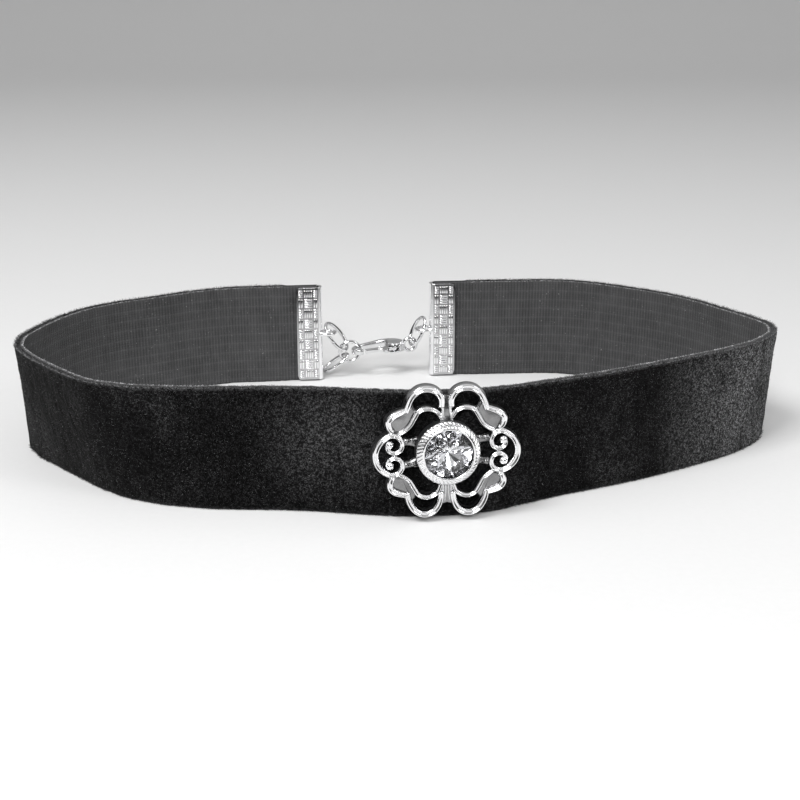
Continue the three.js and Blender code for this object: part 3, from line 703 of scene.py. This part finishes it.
def reed(cx, cz, wide, tall, y, side, rise=0.19):
    """One raised reed of the basket weave: a soft-ended bar on a plate."""
    rows, sides = 5, 12
    points, faces = [], []
    for i in range(rows):
        a = math.pi / 2 * i / (rows - 1)
        grow, up = math.cos(a) ** 0.45 if i < rows - 1 else 0.0, math.sin(a)
        for j in range(sides):
            b = 2 * math.pi * j / sides
            ex = math.copysign(abs(math.cos(b)) ** 0.55, math.cos(b)) * wide / 2 * max(grow, 0.08)
            ez = math.copysign(abs(math.sin(b)) ** 0.55, math.sin(b)) * tall / 2 * max(grow, 0.08)
            points.append((cx + ex, y + side * (rise * up - 0.04), cz + ez))
    faces = grid_faces(rows, sides) + end_caps(rows, sides)
    if side > 0:
        faces = [face[::-1] for face in faces]
    return np.array(points), faces


def weave_reeds(shell):
    pitch = CLAMP_HEIGHT / CLAMP_ROWS
    # Each column: its place, its width, which rows stand upright, and how many reeds stand there.
    columns = [(1.38, 0.95, 1, 2), (2.85, 1.75, 0, 4), (4.38, 1.0, 1, 2)]
    for side in (-1, 1):
        for x, wide, phase, uprights in columns:
            for row in range(CLAMP_ROWS):
                z = (row + 0.5) * pitch
                tall = pitch * (0.74 if row in (0, CLAMP_ROWS - 1) else 0.92)
                z += pitch * 0.08 if row == 0 else -pitch * 0.08 if row == CLAMP_ROWS - 1 else 0.0
                plate = side * CLAMP_OUTER, side
                if (row + phase) % 2 == 0:
                    step = wide / uprights
                    for k in range(uprights):
                        shell.add(*reed(x - wide / 2 + (k + 0.5) * step, z, step * 0.86, tall, *plate))
                else:
                    step = tall / 4
                    for k in range(4):
                        shell.add(*reed(x, z - tall / 2 + (k + 0.5) * step, wide, step * 0.84, *plate))


def make_clamp(name, node, end):
    shell = Shell()
    shell.add(*clamp_plates())
    weave_reeds(shell)
    loop = [(0.45, 1.0), (-0.5, 1.35), (-1.87, 1.16), (-2.6, 0.0), (-1.87, -1.16), (-0.5, -1.35), (0.45, -1.0)]
    shell.add(*wire(even(loop, 64)[0], LOOP_WIRE, 14, base=LOOP_HEIGHT - CLAMP_BASE))
    tip, into = (wall.line[0], wall.way[0]) if end == "start" else (wall.line[-1], -wall.way[-1])
    x = np.array([into[0], into[1], 0.0])
    y = np.array([-into[1], into[0], 0.0])
    origin = [tip[0] - into[0] * CLAMP_BACK, tip[1] - into[1] * CLAMP_BACK, CLAMP_BASE]
    look = embossed_silver(f"{name}_silver", np.array(origin) * MM, x, y)
    place = frame_placer(x, y, (0, 0, 1), origin)
    return shell.make(name, [look], place, slot="silver", replaces=(node,))


make_clamp("clamp_left_weave", "clamp_left", "start")
make_clamp("clamp_right_weave", "clamp_right", "end")

# ---------------------------------------------------------------- rings
RING_WIRE = 0.7


def unit(v):
    v = np.asarray(v, float)
    return v / np.linalg.norm(v)


def lay(along, across):
    x = unit(along)
    z = unit(np.cross(x, np.asarray(across, float)))
    return x, np.cross(z, x), z


# Each link: half its length and width, its centre, and the ways its length and width lie.
LINKS = [
    ("ring_right", 3.15, 1.95, (3.6, 36.9, 9.0), (0.42, 0, 0.907), (0.41, -0.89, -0.19)),
    ("ring_left", 3.4, 1.95, (-13.15, 34.3, 8.55), (-0.6, -0.1, 0.8), (-0.41, -0.89, -0.19)),
    ("ring_clasp", 2.1, 2.1, (-10.4, 34.75, 5.3), (0, 0, 1), (0.99, 0.14, 0)),
    ("tail_link", 3.1, 1.7, (-13.4, 34.95, 2.75), (-0.81, 0.08, -0.57), (0, -1, -0.25)),
]
LINK_STEPS = 97
HALF_SEAM = 0.03
for name, half_length, half_width, centre, along_way, across_way in LINKS:
    seam = HALF_SEAM / half_length
    angle = math.pi / 2 + seam + np.linspace(0, 1, LINK_STEPS) * (2 * math.pi - 2 * seam)
    line = np.stack([half_length * np.cos(angle), half_width * np.sin(angle)], axis=1)
    shell = Shell().add(*wire(line, RING_WIRE, 16))
    place = frame_placer(*lay(along_way, across_way), np.array(centre) + [*PLAN_ORIGIN, 0])
    shell.make(f"{name}_wire", [ring_silver], place, slot="silver", replaces=(name,))

# ---------------------------------------------------------------- lobster clasp
CLASP_EYE = np.array([2.0, 36.95, 6.18])
CLASP_HOOK_END = np.array([-10.5, 35.1, 5.35])
CLASP_THICK = 2.2
EYE_CENTRE = 1.7
EYE_RADIUS = 1.3
EYE_WIRE = 0.8
LEVER_THICK = 0.8
PIVOT = (5.2, 1.0)
# Half of the rivet: heights through the fork, with a low domed head, and the radius there.
RIVET = [(-1.16, 0.12), (-1.14, 0.3), (-1.06, 0.42), (-0.98, 0.45), (-0.9, 0.35)]
clasp_axes = lay(CLASP_HOOK_END - CLASP_EYE, (0, -1, 0))
clasp_origin = CLASP_EYE + [*PLAN_ORIGIN, 0] - clasp_axes[0] * EYE_CENTRE
clasp_place = frame_placer(*clasp_axes, clasp_origin)
clasp_silver = polished_silver("clasp_silver", 0.82, 0.06, 0.16, 0.08)


def chain_outline(groups):
    """A closed outline from runs of points: a run marked True is a smooth curve, the rest straight."""
    out = []
    for smooth, run in groups:
        if smooth:
            out.extend(even(run, 5 * len(run))[0][:-1].tolist())
        else:
            a, b = np.array(run[0], float), np.array(run[1], float)
            out.extend((a + (b - a) * k / 3).tolist() for k in range(3))
    return np.array(out)


def clasp_taper(x):
    return 1 - 0.45 * smooth_step(x, 6.0, 11.5)


def make_clasp():
    outline = chain_outline([
        (True, [(3.0, -0.9), (4.2, -2.1), (6.5, -2.85), (9.5, -2.9), (12.2, -2.1), (13.6, -0.8), (14.0, 0.5),
                (13.5, 1.8), (12.5, 2.45), (11.7, 2.4)]),
        (False, [(11.7, 2.4), (11.65, 1.5)]),
        (True, [(11.65, 1.5), (12.5, 1.2), (12.95, 0.4), (12.75, -0.4), (12.0, -1.2), (9.5, -1.85),
            (7.4, -1.75),
                (6.5, -1.2), (6.25, -0.3)]),
        (False, [(6.25, -0.3), (6.2, 1.7)]),
        (True, [(6.2, 1.7), (5.5, 2.2), (4.6, 2.1), (3.0, 0.9)]),
        (False, [(3.0, 0.9), (3.0, -0.9)]),
    ])
    shell = Shell().add(*pillow(outline, -CLASP_THICK / 2, CLASP_THICK / 2, 0.42, 5, clasp_taper))
    body = shell.make("clasp_claw", [clasp_silver], clasp_place, slot="silver", replaces=("clasp_body",))
    # The slot for the lever is cut through the fork, as in the CAD.
    corners = [(x, y, z) for z in (-0.65, 0.65) for y in (-0.35, 3.65) for x in (4.05, 6.65)]
    walls = [[0, 2, 3, 1], [4, 5, 7, 6], [0, 1, 5, 4], [2, 6, 7, 3], [0, 4, 6, 2], [1, 3, 7, 5]]
    mesh = bpy.data.meshes.new("slot")
    mesh.from_pydata((clasp_place(np.array(corners)) * MM).tolist(), [], walls)
    cutter = bpy.data.objects.new("slot", mesh)
    bpy.context.collection.objects.link(cutter)
    cut = body.modifiers.new("slot", "BOOLEAN")
    cut.operation, cut.solver, cut.object = "DIFFERENCE", "EXACT", cutter
    deps = bpy.context.evaluated_depsgraph_get()
    done = bpy.data.meshes.new_from_object(body.evaluated_get(deps))
    body.modifiers.clear()
    body.data = done
    bpy.data.objects.remove(cutter)
    eye = Shell()
    angle = np.arange(48) / 48 * 2 * math.pi
    line = np.stack([EYE_RADIUS * np.cos(angle), EYE_RADIUS * np.sin(angle)], axis=1)
    points, faces = wire(line, EYE_WIRE, 14, closed=True)
    points = np.column_stack([points[:, 0] + EYE_CENTRE, points[:, 2], points[:, 1]])
    eye.add(points, [face[::-1] for face in faces])
    rivet, sides = [], 16
    turn = np.arange(sides) / sides * 2 * math.pi
    for z, r in RIVET + [(-z, r) for z, r in RIVET[::-1]]:
        x, y = PIVOT[0] + r * np.cos(turn), PIVOT[1] + r * np.sin(turn)
        rivet.append(np.column_stack([x, y, np.full(sides, z)]))
    eye.add(np.concatenate(rivet), grid_faces(len(rivet), sides) + end_caps(len(rivet), sides))
    eye.make("clasp_eye", [clasp_silver], clasp_place, slot="silver")

    lever = chain_outline([
        (True, [(5.65, 0.36), (7.0, 0.62), (8.5, 0.95), (10.0, 1.22), (11.3, 1.5)]),
        (False, [(11.3, 1.5), (11.3, 2.2)]),
        (True, [(11.3, 2.2), (9.6, 2.16), (8.3, 2.18), (7.62, 2.4), (7.5, 2.9), (7.45, 3.4), (7.1, 3.72),
            (6.68, 3.5),
                (6.5, 2.9), (6.4, 2.3), (5.9, 1.98), (5.2, 1.78), (4.6, 1.5), (4.42, 1.0), (4.6, 0.5),
                (5.1, 0.24),
                (5.65, 0.36)]),
    ])
    shell = Shell().add(*pillow(lever, -LEVER_THICK / 2, LEVER_THICK / 2, 0.16, 4))
    shell.make(
        "clasp_thumb_lever", [clasp_silver], clasp_place, body="lever", slot="silver", replaces=("clasp_lever",)
    )


make_clasp()

# ---------------------------------------------------------------- rosette
YAW, LEAN = math.radians(8.0), math.radians(5.5)
facing = np.array([math.sin(YAW) * math.cos(LEAN), -math.cos(YAW) * math.cos(LEAN), math.sin(LEAN)])
rightward = np.array([math.cos(YAW), math.sin(YAW), 0.0])
upward = np.cross(facing, rightward)
rosette_origin = np.array([7.0, -37.28, 11.1]) + [*PLAN_ORIGIN, 0]
rosette_place = frame_placer(rightward, upward, facing, rosette_origin)
ROSETTE_DEPTH = 1.7
WEB_DEPTH = 0.8

# Half of each bar, mirrored to the other half: width, rise, and its line from one end to the other.
BARS = {
    "upper arch": (1.25, 1.0, [(0.8, 6.6), (0.78, 8.2), (1.5, 9.35), (2.85, 9.85), (4.2, 9.65),
            (5.3, 8.75), (5.95, 7.4), (6.3, 6.0)]),
    "upper leaf": (1.15, 0.95, [(6.0, 6.7), (7.2, 6.25), (8.3, 5.75), (8.95, 4.95), (8.75, 3.9), (8.1, 3.1)]),
    "side lobe": (1.15, 1.05, [(7.6, 2.6), (8.6, 2.85), (9.65, 2.35), (10.6, 1.3), (11.05, -0.2),
            (10.75, -1.65), (9.9, -2.75), (8.7, -3.4), (7.6, -3.2)]),
    "upper curl": (0.95, 1.0, [(8.3, 2.85), (7.45, 2.5), (6.9, 1.6), (7.15, 0.55), (8.05, 0.1),
            (8.95, 0.45), (9.15, 1.15), (8.75, 1.45)]),
    "lower curl": (0.95, 1.0, [(8.3, -3.45), (7.45, -3.1), (6.9, -2.2), (7.15, -1.15), (8.05, -0.7),
            (8.95, -1.05), (9.15, -1.75), (8.75, -2.05)]),
    "lower leaf": (1.15, 0.95, [(8.1, -3.6), (8.75, -4.4), (8.8, -5.4), (8.2, -6.15), (7.2, -6.55),
            (6.0, -6.9)]),
    "lower arch": (1.2, 1.0, [(6.3, -6.2), (5.85, -7.9), (4.95, -9.25), (3.75, -9.9), (2.45, -9.7),
            (1.5, -8.8), (1.0, -7.5), (0.9, -6.2)]),
    "upper inner arm": (0.95, 0.85, [(0.7, 5.0), (1.5, 6.2), (2.9, 6.75), (4.25, 6.4), (5.0, 5.3),
            (5.65, 4.2), (6.7, 3.3), (7.6, 2.9)]),
    "lower inner arm": (0.95, 0.85, [(0.9, -5.0), (1.6, -6.6), (2.95, -7.2), (4.3, -6.85), (5.1, -5.7),
            (5.75, -4.6), (6.7, -3.8), (7.6, -3.4)]),
}
WEBS = [
    [(5.4, 7.6), (6.6, 6.5), (8.7, 5.4), (8.6, 3.8), (7.6, 3.0), (6.2, 3.5), (5.2, 4.9), (4.6, 6.1)],
    [(5.5, -7.9), (4.6, -6.6), (5.3, -5.3), (6.3, -4.0), (7.6, -3.5), (8.7, -4.4), (8.7, -5.6), (6.7, -6.7)],
    [(4.4, 2.3), (5.4, 2.1), (6.9, 2.3), (7.1, 1.2), (5.6, 0.9), (4.6, 0.7)],
    [(4.6, -1.0), (5.6, -1.3), (7.1, -1.6), (6.9, -2.8), (5.4, -2.5), (4.4, -2.5)],
]
# A bar's section, in half widths and rises: a rounded bar with a shallow groove near its crest.
BAR_SECTION = np.array([
    (-1.0, 0.0), (-1.0, 0.38), (-0.93, 0.62), (-0.78, 0.84), (-0.58, 0.97), (-0.36, 0.99),
    (-0.16, 0.90), (0.02, 0.86), (0.22, 0.90), (0.42, 0.98), (0.62, 0.93), (0.80, 0.78),
    (0.93, 0.56), (1.0, 0.34), (1.0, 0.0),
]) * [0.5, 1.0]


def closed_curve(outline, per):
    loop = [outline[-1], *outline, outline[0], outline[1]]
    n = len(loop) - 1
    t = np.linspace(1 / n, (n - 1) / n, per * len(outline) + 1)[:-1]
    return catmull(loop, t)


def make_rosette():
    shell = Shell()
    for mirror in (-1, 1):
        for name, (width, rise, points) in BARS.items():
            count = 14 * len(points)
            line = even(points, count)[0] * [mirror, 1]
            t = np.linspace(0, 1, count)
            swell = 0.86 + 0.22 * np.sin(math.pi * t)
            if "curl" in name:
                swell = 1.12 - 0.22 * t
            rises = ROSETTE_DEPTH * rise * (0.90 + 0.10 * np.sin(math.pi * t))
            verts, faces = swept(line, BAR_SECTION, width * swell, rises, cap=width * 0.42)
            shell.add(verts, faces if mirror > 0 else [face[::-1] for face in faces])
        for outline in WEBS:
            curve = closed_curve([(x * mirror, y) for x, y in outline], 6)
            shell.add(*pillow(curve, 0.0, WEB_DEPTH + 0.1, 0.5, 5), kind=1)
        for x, y in ((8.85, 1.35), (8.85, -1.95)):
            shell.add(*ball((x * mirror, y, ROSETTE_DEPTH - 0.62), 0.66, 1.0))
        # Small beads where the side tabs meet the bezel.
        for x, y, r in ((5.3, 1.75, 0.36), (6.2, 1.7, 0.40), (5.3, -2.0, 0.34), (6.2, -2.1, 0.40)):
            shell.add(*ball((x * mirror, y, WEB_DEPTH - 0.25), r * 1.35, 0.9, 8, 12), kind=1)
    # The fluted post over the bezel: a dark channel between two bright ribs.
    post = [(-1.1, 4.2), (1.1, 4.2), (0.8, 6.0), (0.85, 8.7), (-0.85, 8.7), (-0.8, 6.0)]
    shell.add(*pillow(np.array(post), 0.0, 1.0, 0.12, 2), kind=1)
    for x in (-0.62, 0.62):
        line = even([(x * 1.5, 4.4), (x * 1.0, 6.0), (x * 0.95, 7.4), (x * 1.05, 8.6)], 30)[0]
        shell.add(*swept(line, BAR_SECTION, np.full(30, 0.5), np.full(30, 1.35), cap=0.2))
    # The fan under the bezel, with its ribs.
    fan = [(-1.1, -4.2), (-1.0, -6.4), (-1.35, -8.6), (0.0, -8.2), (1.35, -8.6), (1.0, -6.4), (1.1, -4.2)]
    shell.add(*pillow(np.array(fan), 0.0, 1.1, 0.12, 2), kind=1)
    for x0, x1, y1 in ((-0.7, -1.15, -8.3), (-0.25, -0.4, -8.05), (0.25, 0.4, -8.05), (0.7, 1.15, -8.3)):
        line = even([(x0, -4.4), (x0 * 0.9, -6.2), (x1, y1)], 26)[0]
        shell.add(*swept(line, BAR_SECTION, np.full(26, 0.36), np.full(26, 1.3), cap=0.18))
    origin = rosette_origin * MM
    bright = cast_silver("rosette_bright", origin, facing, 0.0005, 0.00135, 0.16, 0.92)
    dark = cast_silver("rosette_recess", origin, facing, 0.0002, 0.0014, 0.06, 0.42, 0.6)
    looks = [bright, dark]
    return shell.make("rosette_filigree", looks, rosette_place, slot="rosette_silver", replaces=("rosette",))


GROOVES = 46
BEZEL_TURNS = 460


def make_bezel():
    profile = [(0.0, 0.0), (2.5, 0.0), (4.45, 0.0), (4.78, 0.18), (4.9, 0.5), (4.92, 1.4), (4.92, 2.35),
            (4.97, 2.5), (4.98, 2.62),
               (4.93, 2.76)]
    milled_from = len(profile)
    for k in range(9):
        s = k / 8
        profile.append((4.88 - 0.72 * s, 2.84 + 0.62 * s ** 0.85))
    milled_to = len(profile)
    profile += [(4.10, 3.52), (4.02, 3.58), (3.92, 3.60), (3.82, 3.56), (3.77, 3.46), (3.80, 3.3),
            (4.0, 3.15), (4.22, 2.95),
                (4.24, 2.0), (3.3, 1.55), (0.9, 0.62), (0.0, 0.62)]
    profile = np.array(profile)
    angle = np.arange(BEZEL_TURNS) / BEZEL_TURNS * 2 * math.pi
    radius = np.repeat(profile[:, 0:1], BEZEL_TURNS, axis=1)
    height = np.repeat(profile[:, 1:2], BEZEL_TURNS, axis=1)
    for i in range(milled_from, milled_to):
        s = (i - milled_from) / (milled_to - 1 - milled_from)
        depth = math.sin(math.pi * min(max(s, 0.04), 0.96)) ** 0.4
        turn = (angle * GROOVES / (2 * math.pi) + 0.9 * s) % 1.0
        groove = np.exp(-(((turn - 0.5) / 0.13) ** 2))
        radius[i] -= groove * 0.09 * depth
        height[i] -= groove * 0.19 * depth
    rows = []
    for i in range(1, len(profile) - 1):
        rows.append(np.column_stack([radius[i] * np.cos(angle), radius[i] * np.sin(angle), height[i]]))
    points = np.concatenate([*rows, [[0, 0, 0.0], [0, 0, 0.62]]])
    n = len(rows)
    faces = grid_faces(n, BEZEL_TURNS)
    low, high, a = len(points) - 2, len(points) - 1, (n - 1) * BEZEL_TURNS
    faces += [[low, (j + 1) % BEZEL_TURNS, j] for j in range(BEZEL_TURNS)]
    faces += [[a + j, a + (j + 1) % BEZEL_TURNS, high] for j in range(BEZEL_TURNS)]
    look = cast_silver("bezel_silver", rosette_origin * MM, facing, 0.0022, 0.0031, 0.22, 0.92)
    return Shell().add(points, faces).make("rosette_bezel", [look], rosette_place, slot="rosette_silver")


def make_crystal():
    """A brilliant-cut stone with a foiled back: its crown is clear and its pavilion mirrors."""
    seat = 0.85
    top = 16

    def around(radius, height, count, turn):
        a = (np.arange(count) / count + turn) * 2 * math.pi + 0.2
        return np.column_stack([radius * np.cos(a), radius * np.sin(a), np.full(count, height + seat)])

    table, star = around(1.95, 2.75, 8, 0.0), around(2.95, 2.42, 8, 1 / 16)
    girdle_top, girdle = around(3.95, 1.85, top, 0.0), around(3.95, 1.6, top, 0.0)
    lower = around(1.7, 0.58, 8, 1 / 16)
    points = np.concatenate([table, star, girdle_top, girdle, lower, [[0, 0, seat]]])
    t, s, g, b, low, culet = 0, 8, 16, 32, 48, 56
    crown, back = [[t + k for k in range(8)]], []
    for k in range(8):
        n, g0, g1, g2 = (k + 1) % 8, 2 * k, 2 * k + 1, (2 * k + 2) % top
        crown.append([t + k, s + k, t + n])
        crown.append([t + n, s + k, g + g2, s + n])
        crown.append([s + k, g + g0, g + g1])
        crown.append([s + k, g + g1, g + g2])
        back.append([b + g0, low + k, b + g1])
        back.append([b + g1, low + k, b + g2])
        back.append([b + g2, low + k, culet, low + n])
    for k in range(top):
        n = (k + 1) % top
        crown.append([g + k, b + k, b + n, g + n])
    shell = Shell().add(points, crown + back)
    shell.kinds = [0] * len(crown) + [1] * len(back)
    looks = [crystal_glass(), crystal_foil()]
    return shell.make("crystal_stone", looks, rosette_place, smooth=False, slot="crystal", replaces=("crystal",))


make_rosette()
make_bezel()
make_crystal()


# ---------------------------------------------------------------- floor, backdrop and light
def studio_paper():
    m = Nodes("studio_paper")
    grain = m.noise(900.0, 3.0, 0.6)
    m.link(m.mix(grain, grey(0.80, 0.0), grey(0.84, 0.0)), m.shader.inputs["Base Color"])
    m.link(m.spread(grain, 0.3, 0.7, 0.55, 0.7), m.shader.inputs["Roughness"])
    m.constant(Specular_IOR_Level=0.2)
    m.bump(grain, 0.05, 0.00005)
    return m.material


def make_sweep():
    """One sheet of studio paper: flat under the object, rising in a curve far behind it."""
    side, front, start, bend = 4.0, -4.0, 0.75, 0.5
    rows = [(front, 0.0), (-0.3, 0.0), (0.2, 0.0), (start, 0.0)]
    for k in range(1, 13):
        a = math.pi / 2 * k / 12
        rows.append((start + bend * math.sin(a), bend * (1 - math.cos(a))))
    rows.append((start + bend, 1.6))
    points = [(x, y, z) for y, z in rows for x in (-side, side)]
    faces = [[2 * i, 2 * i + 1, 2 * i + 3, 2 * i + 2] for i in range(len(rows) - 1)]
    mesh = bpy.data.meshes.new("studio_sweep")
    mesh.from_pydata(points, [], faces)
    mesh.materials.append(studio_paper())
    mesh.polygons.foreach_set("use_smooth", [True] * len(faces))
    piece = bpy.data.objects.new("studio_sweep", mesh)
    bpy.context.collection.objects.link(piece)


def soft_light(name, place, aim, size, power):
    data = bpy.data.lights.new(name, "AREA")
    data.shape, data.size, data.size_y, data.energy = "RECTANGLE", size[0], size[1], power
    light = bpy.data.objects.new(name, data)
    way = np.array(aim, float) - np.array(place, float)
    light.location = place
    pitch = math.atan2(math.hypot(way[0], way[1]), -way[2])
    light.rotation_euler = (pitch, 0.0, math.atan2(way[1], way[0]) - math.pi / 2)
    bpy.context.collection.objects.link(light)


make_sweep()
soft_light("key", (-0.26, -0.28, 0.62), (0, -0.02, 0), (0.30, 0.30), 3.1)
soft_light("fill", (0.55, -0.30, 0.42), (0.03, 0, 0), (0.22, 0.35), 1.0)
soft_light("front", (-0.042, -0.457, 0.275), (0.007, -0.036, 0.011), (0.16, 0.12), 1.0)

world = bpy.data.worlds.new("studio")
bpy.context.scene.world = world
world.use_nodes = True
sky = world.node_tree
background = sky.nodes["Background"]
where = sky.nodes.new("ShaderNodeTexCoord")
split = sky.nodes.new("ShaderNodeSeparateXYZ")
ramp = sky.nodes.new("ShaderNodeValToRGB")
sky.links.new(where.outputs["Generated"], split.inputs["Vector"])
sky.links.new(split.outputs["Z"], ramp.inputs["Fac"])
# Seen directly, past the paper's edge, the room is the same pale grey as the paper.
seen = sky.nodes.new("ShaderNodeLightPath")
pale = sky.nodes.new("ShaderNodeMix")
pale.data_type = "RGBA"
pale.inputs[7].default_value = (1.6, 1.6, 1.6, 1.0)
sky.links.new(seen.outputs["Is Camera Ray"], pale.inputs["Factor"])
sky.links.new(ramp.outputs["Color"], pale.inputs[6])
sky.links.new(pale.outputs[2], background.inputs["Color"])
ramp.color_ramp.elements[0].position = 0.0
ramp.color_ramp.elements[0].color = (0.03, 0.03, 0.03, 1)
ramp.color_ramp.elements[1].position = 0.8
ramp.color_ramp.elements[1].color = (1.3, 1.3, 1.3, 1)
for position, level in ((0.3, 0.10), (0.55, 0.6)):
    step = ramp.color_ramp.elements.new(position)
    step.color = (level, level, level, 1)
background.inputs["Strength"].default_value = 0.455
